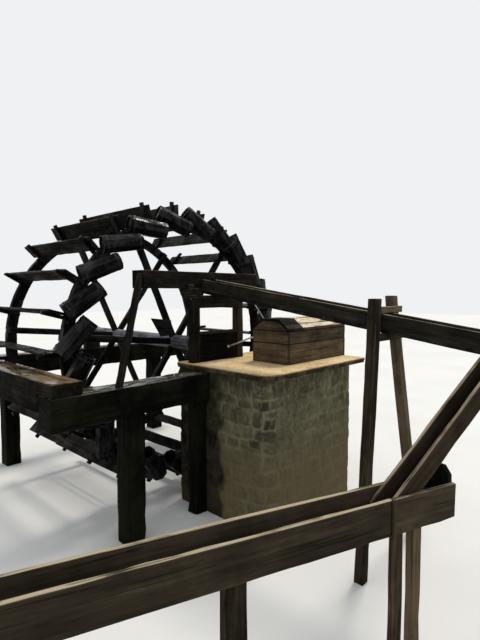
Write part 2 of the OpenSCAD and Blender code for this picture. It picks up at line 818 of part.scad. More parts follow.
// The light metal rod from the stand's panel to the box
module box_rod() color("silver") {
    knob = [rod_x, stand_y + panel_in - knob_r - seat, slab_z + rod_z];
    tip = [box_x - rod_r - seat, box_y + box_w - box_t, slab_z + rod_z + rod_up];
    run = tip - knob;
    translate(knob) {
        sphere(r = knob_r);
        rotate([0, 0, atan2(run[1], run[0])]) rotate([0, acos(run[2] / norm(run)), 0])
            cylinder(r = rod_r, h = norm(run));
    }
    flume_prop();
}

// A thin prop on the box's roof, leaning under the flume's floor
module flume_prop() {
    foot = [box_x + prop_in, box_y + box_w - roof_in - 2 * prop_r,
        slab_z + box_h + roof_rise + 3 * seat];
    under = flume_h + floor_t + seat;
    head = [flume_x + flume_w - 2 * floor_in - prop_r, foot[1], flume_top(foot[1]) - under];
    run = head - foot;
    y0 = foot[1] - 2 * prop_r;
    y1 = foot[1] + 2 * prop_r;
    intersection() {
        translate(foot - run) rotate([0, -atan2(-run[0], run[2]), 0])
            cylinder(r = prop_r, h = 3 * norm(run));
        translate([head[0] - 2 * prop_r, 0, 0]) side_plate(foot[0] - head[0] + 4 * prop_r)
            polygon([[y0, foot[2]], [y1, foot[2]],
                     [y1, flume_top(y1) - under], [y0, flume_top(y0) - under]]);
    }
}

axle_log();
gudgeons();
near_rim_outer();
near_rim_inner();
far_rim_outer();
far_rim_inner();
near_spokes();
far_spokes();
hub_board();
paddles();
paddle_cleats();
bucket_staves();
bucket_bottoms();
bucket_chocks();
pier_masonry();
pier_slab();
near_beam();
cross_beam();
far_beam();
beam_posts();
bearings();
stand_posts();
stand_top_beam();
stand_rail();
stand_panel();
trough_bearers();
trough_floor();
trough_boards();
trough_upper_board();
trough_strut();
flume_floor();
flume_boards();
chute_floor();
chute_boards();
ground_floor();
ground_boards();
ground_end_board();
ground_stakes();
trestle_legs();
trestle_ties();
box_boards();
box_roof_end();
box_roof();
box_rod();
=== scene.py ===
import math
import random

import bmesh
import bpy
import numpy as np
from mathutils import Matrix, Vector, noise
from mathutils.bvhtree import BVHTree


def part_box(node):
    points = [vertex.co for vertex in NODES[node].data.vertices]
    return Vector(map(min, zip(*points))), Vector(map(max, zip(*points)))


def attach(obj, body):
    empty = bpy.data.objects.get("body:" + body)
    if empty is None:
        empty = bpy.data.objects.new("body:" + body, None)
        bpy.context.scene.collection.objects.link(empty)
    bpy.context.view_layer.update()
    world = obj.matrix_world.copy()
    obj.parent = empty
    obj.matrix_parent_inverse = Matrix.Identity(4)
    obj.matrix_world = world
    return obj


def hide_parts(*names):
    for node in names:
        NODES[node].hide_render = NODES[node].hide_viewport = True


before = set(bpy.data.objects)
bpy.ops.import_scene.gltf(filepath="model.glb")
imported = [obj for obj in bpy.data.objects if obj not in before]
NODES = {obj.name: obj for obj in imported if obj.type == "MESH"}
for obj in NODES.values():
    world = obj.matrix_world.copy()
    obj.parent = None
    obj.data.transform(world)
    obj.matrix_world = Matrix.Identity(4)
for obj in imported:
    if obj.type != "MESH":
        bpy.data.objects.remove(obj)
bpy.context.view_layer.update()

# noise_vector takes its offsets from this seed; without one they come from the clock
NOISE_SEED = 11
noise.seed_set(NOISE_SEED)


def middle_of(points):
    """The mean of points."""
    return sum(points, Vector()) / len(points)


# ---------------------------------------------------------------- sizes, in metres
WELD = 2e-5                    # corners nearer than this are one
ON_PLANE = 1e-6                # a cut takes corners this near as lying on it
ON_FACE = 2e-4                 # a nail this near a face sits on it
FLAT = math.radians(1.0)       # faces that turn less than this are one face
SHARP = math.radians(28)       # edges that turn more than this are rounded
BESIDE = 0.3                   # a face is beside a grain that is less than this along it
RIM_RADIUS = 1.85              # the middle of the wheel's rims
AXLE = middle_of(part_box("axle_log"))
AXLE.y = 0
UP = Vector((0, 0, 1))
TURN = 2 * math.pi


def linear(red, green, blue):
    """A colour in linear light, from its screen values of 0 to 255."""
    return [
        (c / 255 / 12.92) if c <= 10 else ((c / 255 + 0.055) / 1.055) ** 2.4
        for c in (red, green, blue)
    ] + [1.0]


# ---------------------------------------------------------------- materials
# Noise patterns: repeats a metre, detail, roughness and distortion. Those of a board's grain
# repeat along it, across it and through it, and the others along X, Y and Z.
STREAK = ((1.3, 24, 24), 5, 0.62, 0.3)
FIBRE = ((7, 170, 170), 3, 0.7)
BLOTCH = ((2.1, 5, 5), 4, 0.6, 0.4)
SPLIT = ((0.9, 36, 36), 2, 0.5)
KNOTS = (2.3, 7.5, 7.5)
STAIN = ((1.7, 1.7, 1.1), 4, 0.62, 0.6)
DROPS = ((9, 9, 4), 3, 0.6)
POOLS = ((3.2, 3.2, 3.2), 4, 0.65, 0.5)
BROAD = ((1.6, 1.6, 1.6), 5, 0.62, 0.5)
PATCH = ((4.2, 4.2, 4.2), 4, 0.6, 0.7)
SPECK = ((34, 34, 34), 5, 0.7)
GRIT = ((150, 150, 150), 3, 0.65)
RUN = ((5, 5, 1.6), 5, 0.68, 0.8)
MOTTLE = ((14, 14, 9), 5, 0.68, 0.5)
BLOOM = ((22, 22, 22), 5, 0.65, 0.4)
SCRATCH = ((260, 260, 260), 3, 0.6)
FLOOR_SHADE = ((0.4, 0.4, 0.4), 3)

# Bands of a pattern's values, from where something starts to where it is full
CRACK_IN, KNOT_IN, MOSS_IN = (0.62, 0.655), (0.16, 0.07), (0.42, 0.62)
DROP_IN, POOL_IN, WORN_IN = (0.45, 0.62), (0.44, 0.54), (0.42, 0.6)
STAIN_IN, SPECK_IN, SHADE_IN = (0.35, 0.65), (0.3, 0.7), (0.3, 0.7)

WOOD_SHADE = (0.5, 0.32, 0.18)        # shares of streak, blotch and fibre
WOOD_RELIEF = (0.55, 0.3, -0.8, -0.2)         # shares of streak, fibre, cracks and knot
DARKER, LIGHTER = 0.14, 0.16          # from the middle shade to the dark and light ones
STAIN_SHADE = 0.06                    # how far stains shift the shade
POOL_DARK, END_DARK, KNOT_DARK, CRACK_DARK = 0.5, 0.35, 0.5, 0.85

MOSS = linear(44, 46, 26)
CRACK = [0.004, 0.003, 0.003, 1]
STONE_DARKEST, STONE_DARK = linear(34, 32, 26), linear(58, 55, 45)
MORTAR_SHADY, MORTAR_PALE = linear(60, 56, 40), linear(150, 142, 114)
# Dark runs of stain, and the colour of painted shade on the pier
RUN_DARK, STONE_SHADE = linear(54, 52, 34), linear(24, 22, 16)
EDGE_PALE, SLAB_STAIN = linear(104, 86, 60), linear(84, 68, 48)

WATER_IOR = 1.33
FILM_ROUGH, POOL_ROUGH = 0.14, 0.09
SEAM_SHADE = 0.25              # a seam's painted shade, as a share of the wood's dark colour
RUN_FOOT, RUN_HEAD = 1.4, 1.93        # dark runs fade in between these heights
EARTH_FOOT, EARTH_HEAD = 0.6, 1.5     # and earth stains fade out between these


class Shader:
    """A material's or world's node tree, with short calls for the nodes that it needs."""

    def __init__(self, name, store=None):
        self.owner = (bpy.data.materials if store is None else store).new(name)
        self.owner.use_nodes = True
        self.tree = self.owner.node_tree
        self.tree.nodes.clear()

    def node(self, kind, inputs=(), **settings):
        """Adds a node, whose inputs are plain values or the outputs of other nodes."""
        made = self.tree.nodes.new("ShaderNode" + kind)
        for key, value in settings.items():
            setattr(made, key, value)
        for key, value in dict(inputs).items():
            if isinstance(value, bpy.types.NodeSocket):
                self.tree.links.new(value, made.inputs[key])
            else:
                made.inputs[key].default_value = value
        return made

    def attribute(self, name, output="Fac"):
        return self.node("Attribute", attribute_name=name).outputs[output]

    def place(self):
        return self.node("TexCoord").outputs["Object"]

    def axis(self, vector, name):
        return self.node("SeparateXYZ", {0: vector}).outputs[name]

    def scaled(self, vector, scale):
        return self.node("VectorMath", {0: vector, 1: scale}, operation="MULTIPLY").outputs[0]

    def noise(self, vector, scale, detail, rough=0.6, warp=0.0):
        spread = self.scaled(vector, scale)
        return self.node("TexNoise", {"Vector": spread, "Scale": 1.0, "Detail": detail,
                                      "Roughness": rough, "Distortion": warp}).outputs["Fac"]

    def math(self, operation, first, *rest):
        """Chains one operation over values, from left to right."""
        for value in rest:
            first = self.node("Math", {0: first, 1: value}, operation=operation).outputs[0]
        return first

    def times(self, *values):
        return self.math("MULTIPLY", *values)

    def add(self, *values):
        return self.math("ADD", *values)

    def weigh(self, *pairs):
        """The sum of values, each times its weight."""
        return self.add(*[self.times(value, weight) for value, weight in pairs])

    def span(self, value, low, high, to_low=0.0, to_high=1.0):
        return self.node("MapRange", {"Value": value, "From Min": low, "From Max": high,
                                      "To Min": to_low, "To Max": to_high},
                         interpolation_type="SMOOTHSTEP").outputs[0]

    def mix(self, share, a, b):
        return self.node("MixRGB", {0: share, 1: a, 2: b}).outputs[0]

    def ramp(self, value, stops):
        made = self.node("ValToRGB", {0: value})
        points = made.color_ramp.elements
        while len(points) < len(stops):
            points.new(0.5)
        for point, (place, colour) in zip(points, stops):
            point.position, point.color = place, colour
        return made.outputs[0]

    def close(self, colour, rough, bump, depth, film=0.0, metal=0.0, specular=0.2,
              film_rough=0.2):
        """Ends a material; film is the share of its surface that water covers."""
        height = self.node("Bump", {"Height": bump, "Strength": 1.0, "Distance": depth})
        shader = self.node("BsdfPrincipled", {
            "Base Color": colour, "Roughness": rough, "Metallic": metal,
            "Specular IOR Level": specular, "Coat Weight": film, "Coat Roughness": film_rough,
            "Coat IOR": WATER_IOR, "Normal": height.outputs[0]})
        self.node("OutputMaterial", {0: shader.outputs[0]})
        return self.owner


def wood(name, dark, mid, light, rough, top=None, sunlit_share=0.8, facing=(0.55, 0.92),
         patchy=(0.38, 0.58), wet=0.0, pool=0.0, crack=0.7, green=0.0, depth=0.004, worn=0.35,
         seam=0.0, spread=1.0, specular=0.12, tones=0.06):
    """Weathered timber: streaks along each board's grain, cracks, blotches and worn edges.

    spread moves the dark and light shades apart, for softer streaks. top is the colour of
    painted sunlight and sheen in patches on faces that look up, facing how far up they look,
    and patchy the band of the patches. wet is a film of drops anywhere, and pool one on
    those faces. green is moss.
    worn pales the rounded edges, as wear and on the wheel's woods also as painted highlight;
    seam darkens them as painted shade in the gaps between boards, and tones is how far
    boards differ.
    """
    s = Shader(name)
    dark, mid, light = (linear(*colour) for colour in (dark, mid, light))
    grain = s.attribute("grain", "Vector")
    tone, rim, end = (s.attribute(key) for key in ("tone", "rim", "end"))
    place = s.place()
    streak, fibre, blotch, split = (
        s.noise(grain, *pattern) for pattern in (STREAK, FIBRE, BLOTCH, SPLIT))
    stain = s.noise(place, *STAIN)
    cracks = s.times(s.span(split, *CRACK_IN), crack)
    cells = s.node("TexVoronoi", {"Vector": s.scaled(grain, KNOTS), "Scale": 1.0,
                                  "Randomness": 1.0})
    knot = s.span(cells.outputs["Distance"], *KNOT_IN)
    value = s.add(s.weigh(*zip((streak, blotch, fibre), WOOD_SHADE)),
                  s.span(tone, 0, 1, -tones, tones),
                  s.span(stain, *STAIN_IN, -STAIN_SHADE, STAIN_SHADE))
    colour = s.ramp(value, [(0.5 - DARKER * spread, dark), (0.5, mid),
                            (0.5 + LIGHTER * spread, light)])
    if green:
        colour = s.mix(s.times(s.span(stain, *MOSS_IN), green), colour, MOSS)
    film = 0.0
    if wet:
        film = s.times(s.span(s.noise(place, *DROPS), *DROP_IN), wet)
    # Painted sunlight and sheen: faces that look up get paler patches of the top colour
    if top:
        upward = s.span(s.axis(s.node("NewGeometry").outputs["Normal"], "Z"), *facing)
        patch = s.span(s.weigh((blotch, 0.55), (streak, 0.45)), *patchy)
        colour = s.mix(s.times(upward, s.times(patch, sunlit_share)), colour, linear(*top))
        if pool:
            film = s.times(upward, s.span(s.noise(place, *POOLS), *POOL_IN), pool)
            colour = s.mix(s.times(film, POOL_DARK), colour, dark)
    # Paler rounded edges: wear, and on the wheel's woods also painted highlight
    colour = s.mix(s.times(rim, s.span(blotch, *WORN_IN), worn), colour, light)
    # Darker rounded edges: painted shade in the gaps between boards
    if seam:
        colour = s.mix(s.times(rim, seam), colour, [c * SEAM_SHADE for c in dark[:3]] + [1])
    colour = s.mix(s.times(end, END_DARK), colour, dark)
    colour = s.mix(s.times(knot, KNOT_DARK), colour, dark)
    colour = s.mix(s.times(cracks, CRACK_DARK), colour, CRACK)
    gloss = s.span(value, *SHADE_IN, rough[1], rough[0])
    relief = s.weigh(*zip((streak, fibre, cracks, knot), WOOD_RELIEF))
    return s.close(colour, gloss, relief, depth, film, specular=specular,
                   film_rough=POOL_ROUGH if pool else FILM_ROUGH)


def stone(name, base, pale, dark, low, joint=None, side=None):
    """Stone or mortar, from speckle and patches, with painted shade and earth on it.

    low is the colour near the ground. joint is the mortar's pale lines in rubble, where tone
    gives each stone's shade, and side is the colour of a slab's broken edge, darker as
    painted shade.
    """
    s = Shader(name)
    base, pale, dark, low = (linear(*colour) for colour in (base, pale, dark, low))
    place = s.place()
    tone, mask, wet = (s.attribute(key) for key in ("tone", "rim", "end"))
    broad, patch, speck, grit = (
        s.noise(place, *pattern) for pattern in (BROAD, PATCH, SPECK, GRIT))
    height = s.axis(place, "Z")
    value = s.add(s.times(speck, 0.4), s.weigh((broad, 0.3), (patch, 0.3)))
    colour = s.ramp(value, [(0.38, dark), (0.49, base), (0.62, pale)])
    if joint:
        run, mottle = s.noise(place, *RUN), s.noise(place, *MOTTLE)
        body = s.ramp(tone, [(0.0, STONE_DARKEST), (0.25, STONE_DARK), (0.55, dark),
                             (1.0, base)])
        body = s.mix(s.span(value, 0.4, 0.6, 0.1, 0.5), body, colour)
        line = s.axis(s.attribute("grain", "Vector"), "X")
        line = s.times(line, s.span(speck, 0.35, 0.6, 1.0, 0.55))
        colour = s.mix(mask, s.mix(line, colour, linear(*joint)), body)
        loose = s.span(mask, 0, 1, 1.0, 0.45)
        colour = s.mix(s.times(s.span(mottle, 0.52, 0.62, 0.0, 0.6), loose), colour,
                       MORTAR_SHADY)
        colour = s.mix(s.span(mottle, 0.47, 0.38, 0.0, 0.3), colour, MORTAR_PALE)
        high = s.span(height, RUN_FOOT, RUN_HEAD, 0.0, 0.7)
        colour = s.mix(s.times(s.span(run, 0.46, 0.6), high), colour, RUN_DARK)
    # Painted shade: a slab's broken sides take the dark side colour, with paler patches
    if side:
        shade = s.mix(s.span(patch, 0.42, 0.62), linear(*side), EDGE_PALE)
        colour = s.mix(mask, colour, shade)
        stain = s.times(s.span(patch, 0.5, 0.64), s.span(mask, 0, 1, 0.22, 0.8))
        colour = s.mix(stain, colour, SLAB_STAIN)
    earth = s.times(s.span(height, EARTH_HEAD, EARTH_FOOT), s.span(broad, 0.3, 0.6, 0.35, 0.9))
    colour = s.mix(earth, colour, s.mix(s.span(speck, *SPECK_IN), low, base))
    # Painted shade, read from the end attribute: the pier's side by the wheel and under the
    # slab
    colour = s.mix(s.times(wet, s.span(patch, 0.3, 0.6, 1.0, 0.75)), colour, STONE_SHADE)
    relief = s.weigh((speck, 0.6), (grit, 0.4))
    gloss = s.span(speck, *SPECK_IN, 0.95, 0.8)
    return s.close(colour, gloss, relief, depth=0.006, specular=0.15)


def metal(name, base, rust, share, rough, metallic):
    """Iron or steel with a share of rust blooms, and fine scratches."""
    s = Shader(name)
    base, rust = linear(*base), linear(*rust)
    place = s.place()
    bloom, scratch = s.noise(place, *BLOOM), s.noise(place, *SCRATCH)
    mask = s.times(s.span(bloom, 0.62 - share * 0.3, 0.75 - share * 0.3), 0.9)
    colour = s.mix(mask, base, rust)
    colour = s.mix(s.span(scratch, 0.4, 0.7, 0.0, 0.35), colour, base)
    relief = s.weigh((bloom, 0.6), (scratch, 0.4))
    bare = s.times(s.span(mask, 0, 1, 1, 0), metallic)
    return s.close(colour, s.span(mask, 0.0, 1.0, rough, 0.85), relief, depth=0.0012,
                   metal=bare, specular=0.5)


# ---------------------------------------------------------------- pieces
def tube(n, rings, closed=False):
    """The faces between rings of n points; closed joins the last ring to the first."""
    faces = []
    for j in range(rings if closed else rings - 1):
        here, after = j * n, (j + 1) % rings * n
        faces += [[here + i, here + (i + 1) % n, after + (i + 1) % n, after + i]
                  for i in range(n)]
    return faces


def caps(n, rings):
    """The two faces that close a tube's ends."""
    return [list(range(n))[::-1], [(rings - 1) * n + i for i in range(n)]]


def linked(name, data):
    """A new object in the scene."""
    made = bpy.data.objects.new(name, data)
    bpy.context.scene.collection.objects.link(made)
    return made


class Piece:
    """Collects worn solids in one mesh, with the attributes that the materials read.

    grain is a place along, across and through a board, rim marks rounded edges, tone is a
    board's own shade, and end marks end grain.
    """

    GRAIN_SHIFT = 40           # each board's grain starts elsewhere, up to this far
    END_FACING = 0.75          # a face is end grain if its normal is this much along it

    def __init__(self, name):
        self.name = name
        self.random = random.Random(name)
        self.points, self.faces = [], []
        self.data = {"grain": [], "rim": [], "tone": [], "end": []}

    def add(self, one, axes, tone=None, ring=None):
        """Adds a bmesh, in which material index 1 marks bevels; ring is its felloe's angle.

        Bevels come with their faces in any order, so the faces are sorted.
        """
        far = self.GRAIN_SHIFT
        shift = Vector([self.random.uniform(-far, far) for _ in range(3)])
        tone = self.random.random() if tone is None else tone
        base = len(self.points)
        one.verts.index_update()
        for v in one.verts:
            self.points.append(tuple(v.co))
            if ring is None:
                place = axes @ v.co
            else:
                x, z = v.co.x - AXLE.x, v.co.z - AXLE.z
                angle = (math.atan2(z, x) - ring + math.pi) % TURN - math.pi
                place = Vector((angle * RIM_RADIUS, math.hypot(x, z), v.co.y))
            self.data["grain"].append(tuple(place + shift))
            self.data["rim"].append(float(any(f.material_index == 1 for f in v.link_faces)))
            self.data["tone"].append(tone)
            ends = [abs(f.normal.dot(axes[0])) > self.END_FACING for f in v.link_faces]
            self.data["end"].append(float(all(ends) and ring is None))
        loops = []
        for f in one.faces:
            loop = [base + v.index for v in f.verts]
            first = loop.index(min(loop))
            loops.append(loop[first:] + loop[:first])
        self.faces += sorted(loops)
        one.free()

    def raw(self, points, faces, rim=None, tone=None, end=None, grain=None):
        """Adds plain lists of points and faces."""
        base, count = len(self.points), len(points)
        self.points += [tuple(p) for p in points]
        self.faces += [[base + i for i in f] for f in faces]
        self.data["grain"] += [tuple(p) for p in grain or points]
        self.data["rim"] += rim or [0.0] * count
        self.data["tone"] += tone or [0.5] * count
        self.data["end"] += end or [0.0] * count

    def close(self, material, slot, body, nodes=(), sharp=50):
        """Makes the object; its edges stay hard where they turn more than sharp degrees."""
        mesh = bpy.data.meshes.new(self.name)
        mesh.from_pydata(self.points, [], self.faces)
        mesh.validate()
        for key, values in self.data.items():
            kind, field = ("FLOAT_VECTOR", "vector") if key == "grain" else ("FLOAT", "value")
            layer = mesh.attributes.new(key, kind, "POINT")
            layer.data.foreach_set(field, np.array(values, np.float32).ravel())
        mesh.polygons.foreach_set("use_smooth", [True] * len(mesh.polygons))
        mesh.set_sharp_from_angle(angle=math.radians(sharp))
        mesh.materials.append(material)
        made = linked(self.name, mesh)
        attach(made, body)
        if nodes:
            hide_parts(*nodes)
        return made


# ---------------------------------------------------------------- timber from the CAD solids
def solids_of(node):
    """The loose solids of a CAD node, each a welded bmesh whose flat faces are whole."""
    whole = bmesh.new()
    whole.from_mesh(NODES[node].data)
    bmesh.ops.remove_doubles(whole, verts=whole.verts, dist=WELD)
    whole.faces.index_update()
    seen, found = set(), []
    for first in whole.verts:
        if first in seen:
            continue
        seen.add(first)
        group, stack = [], [first]
        while stack:
            vert = stack.pop()
            group.append(vert)
            for link in vert.link_edges:
                other = link.other_vert(vert)
                if other not in seen:
                    seen.add(other)
                    stack.append(other)
        one = bmesh.new()
        made = {vert: one.verts.new(vert.co) for vert in group}
        for face in sorted({f for v in group for f in v.link_faces}, key=lambda f: f.index):
            one.faces.new([made[v] for v in face.verts])
        one.normal_update()
        bmesh.ops.dissolve_limit(one, angle_limit=FLAT, verts=one.verts, edges=one.edges,
                                 use_dissolve_boundaries=False)
        one.normal_update()
        found.append(one)
    whole.free()
    return found


def broadest(faces):
    """The normal of the largest face."""
    return max(faces, key=lambda f: round(f.calc_area(), 6)).normal


def grain_axes(one):
    """Rows: along the longest edge, across it, and square to the largest face along it."""
    edge = max(one.edges, key=lambda e: round(e.calc_length(), 5))
    along = (edge.verts[1].co - edge.verts[0].co).normalized()
    beside = [f for f in one.faces if abs(f.normal.dot(along)) < BESIDE] or list(one.faces)
    normal = broadest(beside)
    normal = (normal - along * normal.dot(along)).normalized()
    return Matrix((along, normal.cross(along), normal))


def cut(one, point, normal, **options):
    """Cuts a bmesh's faces along a plane."""
    return bmesh.ops.bisect_plane(one, geom=one.verts[:] + one.edges[:] + one.faces[:],
                                  dist=ON_PLANE, plane_co=point, plane_no=normal, **options)


def planks(one, axes, count, gap=0.003):
    """Cuts a solid across its width into boards, with a gap between them."""
    side = axes[1]
    reach = [v.co.dot(side) for v in one.verts]
    low, wide = min(reach), (max(reach) - min(reach)) / count
    boards = []
    for k in range(count):
        board = one.copy()
        cuts = []
        if k > 0:
            cuts.append((low + wide * k + gap / 2, -1))
        if k < count - 1:
            cuts.append((low + wide * (k + 1) - gap / 2, 1))
        for place, way in cuts:
            done = cut(board, side * place, side * way, clear_outer=True)
            rim = [e for e in done["geom_cut"] if isinstance(e, bmesh.types.BMEdge)]
            bmesh.ops.contextual_create(board, geom=rim)
        board.normal_update()
        boards.append(board)
    one.free()
    return boards


NAILS = []                     # the frame's nails: each one's place and the way it looks


def nail(one, axes, toward, ends=0.04, across=(0.25, 0.75), every=0.0):
    """Notes nail places on a board's face: near both its ends, or in rows along it."""
    spread = [(min(c), max(c)) for c in zip(*[(axes @ v.co)[:] for v in one.verts])]
    (a0, a1), (b0, b1), (c0, c1) = spread
    way = 1 if axes[2].dot(toward) > 0 else -1
    tree = BVHTree.FromBMesh(one)
    count = max(2, round((a1 - a0 - 2 * ends) / every) + 1) if every else 2
    for i in range(count):
        for share in across:
            spot = Vector((a0 + ends + (a1 - a0 - 2 * ends) * i / (count - 1),
                           b0 + (b1 - b0) * share, c1 if way > 0 else c0))
            point = axes.transposed() @ spot
            if tree.find_nearest(point)[3] < ON_FACE:
                NAILS.append((point, axes[2] * way))


# Rings of a stud's parts, as shares of its radius and height
HEAD = ((1.0, -0.6), (1.0, 0.55), (0.72, 1.0))
WASHER, WASHER_SIDES = ((1.0, -0.6), (1.0, 0.22), (0.93, 0.3)), 14
HARD = 25                      # degrees, for iron's edges


def studs(name, places, radius, height, body, sides=8, washer=0.0):
    """Nail or bolt heads that stand out of the wood, each with a chamfered head."""
    piece = Piece(name)
    for point, normal in places:
        turn = piece.random.uniform(0, math.pi)
        u = normal.orthogonal().normalized()
        v = normal.cross(u)
        parts = [(radius, HEAD, sides)]
        if washer:
            parts.insert(0, (radius * washer, WASHER, WASHER_SIDES))
        for size, rings, n in parts:
            angles = [turn + TURN * i / n for i in range(n)]
            points = [point + (u * math.cos(a) + v * math.sin(a)) * size * wide
                      + normal * height * high for wide, high in rings for a in angles]
            piece.raw(points, tube(n, len(rings)) + caps(n, len(rings)))
    return piece.close(NAIL, "iron", body, sharp=HARD)


# How worn() shapes a solid: the most of its thickness that bevels and insets take, the waves
# of its wear in a metre, and how far each solid's waves start from the last one's
BEVEL_SHARE, INSET_SHARE = 0.16, 0.2
SLOW, FAST, CHIPPED, CHIP_START = 1.4, 11, 9, 0.05
SEED_STEPS = (7.1, 3.3, 1.7)


def worn(one, axes, bevel=0.004, inset=0.012, step=0.16, rough=0.0015, chips=0.004,
         warp=0.002, seed=0.0, ring=None):
    """Rounds a solid's edges, cuts it along its length and wears it."""
    along = [(axes @ v.co).x for v in one.verts]
    low, high = min(along), max(along)
    spread = [max(c) - min(c) for c in zip(*[(axes @ v.co)[:] for v in one.verts])]
    thin = min(spread)
    edges = [e for e in one.edges if len(e.link_faces) == 2 and e.calc_face_angle() > SHARP]
    bmesh.ops.bevel(one, geom=edges, offset=min(bevel, BEVEL_SHARE * thin),
                    offset_type="OFFSET", segments=2, profile=0.55, affect="EDGES",
                    clamp_overlap=True, material=1)
    main = [f for f in one.faces if f.material_index == 0]
    bmesh.ops.inset_region(one, faces=main, thickness=min(inset, INSET_SHARE * thin),
                           use_boundary=True, use_even_offset=True)
    if ring is None:
        count = max(2, round((high - low) / step))
        for i in range(1, count):
            place = low + (high - low) * i / count
            cut(one, axes.transposed() @ Vector((place, 0, 0)), axes[0])
    else:
        angles = [math.atan2(v.co.z - AXLE.z, v.co.x - AXLE.x) for v in one.verts]
        angles = [(a - ring + math.pi) % TURN - math.pi for a in angles]
        low, high = min(angles), max(angles)
        count = max(2, round((high - low) * RIM_RADIUS / step))
        for i in range(1, count):
            a = ring + low + (high - low) * i / count
            cut(one, AXLE, Vector((-math.sin(a), 0, math.cos(a))))
    one.normal_update()
    offset = Vector([seed * far for far in SEED_STEPS])
    for v in one.verts:
        slow = noise.noise_vector(v.co * SLOW + offset)
        fast = noise.noise_vector(v.co * FAST + offset)
        move = slow * warp + fast * rough
        if any(f.material_index == 1 for f in v.link_faces):
            bite = max(0.0, noise.noise(v.co * CHIPPED - offset) - CHIP_START)
            move -= v.normal * chips * bite * 2
        v.co += move
    return one


def timber(node, material, slot, body, ring=False, split=1, nails=None, tone=None, **wear):
    """A CAD node's boards, worn, as one piece that stands for the node."""
    piece = Piece(node + "_timber")
    middle = middle_of(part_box(node))
    number = 0
    for solid in solids_of(node):
        axes = grain_axes(solid)
        centre = middle_of([v.co for v in solid.verts])
        turn = math.atan2(centre.z - AXLE.z, centre.x - AXLE.x) if ring else None
        for one in planks(solid, axes, split) if split > 1 else [solid]:
            number += 1
            if nails is not None:
                nail(one, axes, **{"toward": centre - middle, **nails})
            worn(one, axes, seed=float(number), ring=turn, **wear)
            piece.add(one, axes, tone and tone(centre), ring=turn)
    return piece.close(material, slot, body, [node])


# ---------------------------------------------------------------- the materials in use
# The wheel's woods pale their rounded edges strongly: wear and painted highlight
WET = wood("wet_wheel_wood", (4, 5, 6), (12, 12, 13), (50, 50, 52), rough=(0.5, 0.8),
           wet=0.4, green=0.1, depth=0.005, worn=0.6, spread=1.3, specular=0.05)
STAVE = wood("wet_stave_wood", (4, 4, 5), (10, 10, 11), (61, 61, 64), rough=(0.45, 0.75),
             wet=0.6, green=0.08, depth=0.006, worn=0.8, spread=1.5, specular=0.05)
PADDLE = wood("paddle_wood", (10, 10, 10), (27, 25, 23), (62, 59, 55), rough=(0.5, 0.8),
              wet=0.25, green=0.1, depth=0.005, specular=0.06)
LOG = wood("axle_log_wood", (66, 66, 69), (125, 126, 131), (181, 182, 188),
           rough=(0.45, 0.75), wet=0.6, depth=0.006, crack=0.9, specular=0.2)
BEAM = wood("beam_dark_wood", (5, 5, 4), (13, 13, 9), (33, 31, 23), top=(120, 114, 100),
            sunlit_share=0.75, rough=(0.6, 0.9), pool=1.0, green=0.22, depth=0.006, spread=1.2,
            specular=0.05)
CROSS = wood("beam_brown_wood", (6, 6, 5), (18, 16, 12), (48, 42, 32), top=(132, 108, 76),
             sunlit_share=0.9, rough=(0.6, 0.9), pool=0.9, green=0.15, depth=0.006,
             specular=0.05)
STAND = wood("stand_brown_wood", (15, 13, 10), (34, 29, 23), (64, 55, 44),
             top=(130, 112, 86), sunlit_share=0.6, rough=(0.65, 0.9), green=0.15,
             specular=0.08)
RAIL = wood("rail_brown_wood", (14, 12, 9), (30, 26, 20), (58, 50, 40), rough=(0.65, 0.9))
PANEL = wood("stand_panel_wood", (6, 6, 5), (15, 14, 12), (32, 29, 25), rough=(0.65, 0.9),
             specular=0.05)
TROUGH = wood("trough_dark_wood", (7, 6, 5), (17, 15, 13), (38, 33, 28),
              top=(128, 116, 100), sunlit_share=0.9, rough=(0.55, 0.8), wet=0.15,
              specular=0.05)
UPPER = wood("trough_reddish_wood", (13, 10, 8), (33, 26, 22), (62, 52, 44),
             top=(140, 126, 108), rough=(0.6, 0.88), specular=0.06)
FLUME = wood("flume_grey_wood", (22, 19, 15), (43, 39, 31), (74, 67, 54),
             top=(176, 164, 142), sunlit_share=0.95, rough=(0.7, 0.95), depth=0.005,
             spread=1.4)
BED = wood("channel_bed_wood", (8, 8, 7), (19, 17, 15), (36, 33, 29), rough=(0.4, 0.7),
           wet=0.8)
CHUTE = wood("chute_brown_wood", (34, 27, 20), (64, 53, 40), (96, 81, 63),
             top=(190, 174, 150), sunlit_share=0.95, rough=(0.65, 0.92), wet=0.1, spread=1.4)
GROUND = wood("ground_trough_wood", (36, 30, 23), (64, 55, 43), (98, 85, 68),
              top=(178, 162, 136), sunlit_share=0.9, rough=(0.65, 0.92), green=0.1,
              spread=1.5, patchy=(0.38, 0.56))
# A darker copy of the ground trough's wood for its end board: painted shade
END_BOARD_SHADED = wood("end_board_shaded_wood", (18, 15, 12), (36, 31, 25), (60, 52, 42),
               rough=(0.6, 0.85))
TRESTLE = wood("trestle_wood", (32, 27, 20), (66, 56, 42), (112, 97, 74),
               top=(150, 128, 98), rough=(0.7, 0.95), depth=0.006, spread=1.3, tones=0.16)
BOX = wood("box_board_wood", (44, 38, 29), (86, 74, 57), (132, 115, 91), rough=(0.7, 0.95),
           crack=0.5, seam=1.0, worn=0.0, spread=1.5)
